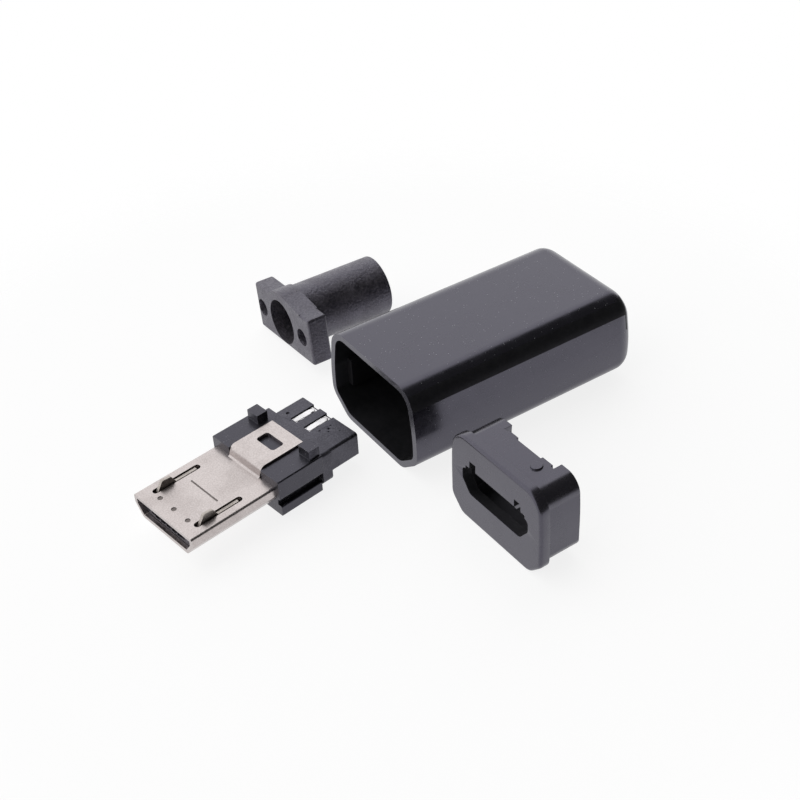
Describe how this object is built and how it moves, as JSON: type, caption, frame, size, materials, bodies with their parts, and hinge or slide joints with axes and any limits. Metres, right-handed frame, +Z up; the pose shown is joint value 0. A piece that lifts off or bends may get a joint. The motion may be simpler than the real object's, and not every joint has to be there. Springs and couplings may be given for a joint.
{
  "type": "micro usb plug",
  "caption": "Solder-it-yourself micro USB plug, laid out in its pieces: plug core with sprung latch hooks, D-shaped sleeve, front bezel and cable grommet.",
  "frame": {"origin": "on the surface that the pieces lie on, under the middle of the whole layout", "axes": "+X along the sleeve from its open mouth to its cable end, +Y to the left of that, +Z up"},
  "size_m": [0.0394, 0.0384, 0.0078],
  "materials": {
    "nickel_plated_steel": "bright nickel plate over folded sheet",
    "spring_steel": "plain spring steel blade",
    "tinned_contact": "tinned copper alloy",
    "black_moulding": "satin black glass-filled moulding",
    "gloss_black_shell": "glossy black moulding",
    "satin_black": "satin black moulding",
    "matte_black": "grainy matt black moulding"
  },
  "bodies": {
    "kit": {"plug_shell": "nickel_plated_steel", "collar": "black_moulding", "contact_carrier": "black_moulding", "contact_1": "tinned_contact", "contact_2": "tinned_contact", "contact_3": "tinned_contact", "contact_4": "tinned_contact", "contact_5": "tinned_contact", "sleeve": "gloss_black_shell", "bezel": "satin_black", "grommet": "matte_black"},
    "left_hook": {"latch_left": "spring_steel"},
    "right_hook": {"latch_right": "spring_steel"}
  },
  "joints": [
    {"name": "left_hook_press", "type": "hinge", "parent": "kit", "child": "left_hook", "pos_m": [-0.01204, 0.00278, 0.00233], "axis": [0.1564, -0.9877, 0], "range_deg": [0, 5.5], "stiffness_Nm_per_rad": 0.05},
    {"name": "right_hook_press", "type": "hinge", "parent": "kit", "child": "right_hook", "pos_m": [-0.01127, -0.00208, 0.00233], "axis": [0.1564, -0.9877, 0], "range_deg": [0, 5.5], "stiffness_Nm_per_rad": 0.05}
  ]
}
